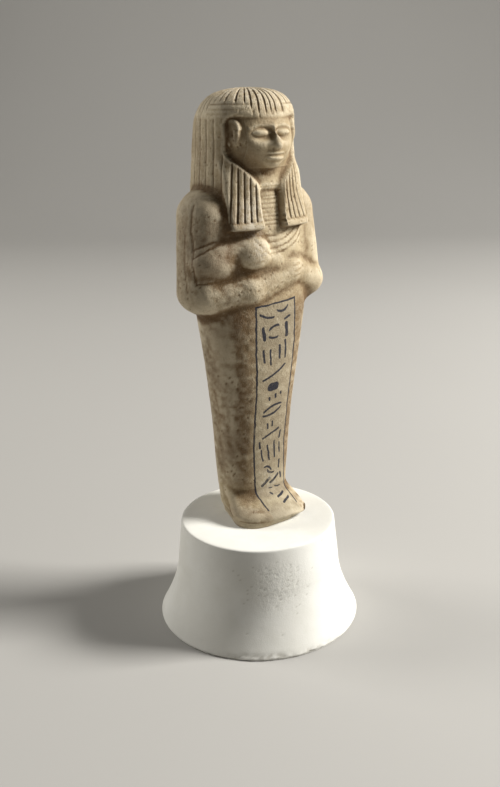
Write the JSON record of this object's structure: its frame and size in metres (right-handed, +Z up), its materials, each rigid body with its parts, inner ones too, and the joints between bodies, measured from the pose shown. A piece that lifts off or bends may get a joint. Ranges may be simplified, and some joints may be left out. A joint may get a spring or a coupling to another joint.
{
  "type": "ushabti figurine",
  "caption": "Mummiform funerary figurine with striped wig, crossed arms and a painted text column, standing on a round flared plaster stand.",
  "frame": {"origin": "centre of the stand's flat underside, at the middle of the bounding box", "axes": "+Z up along the figure's height, -Y the way the figure faces, +X to the figure's own left"},
  "size_m": [0.074, 0.074, 0.1878],
  "materials": {
    "ushabti_figure": "worn matte faience, pale tan with brown staining in the grooves and a blue-black painted column",
    "plaster_stand": "matte white plaster"
  },
  "bodies": {
    "root": {"ushabti_figure": "ushabti_figure", "plaster_stand": "plaster_stand"}
  },
  "joints": []
}
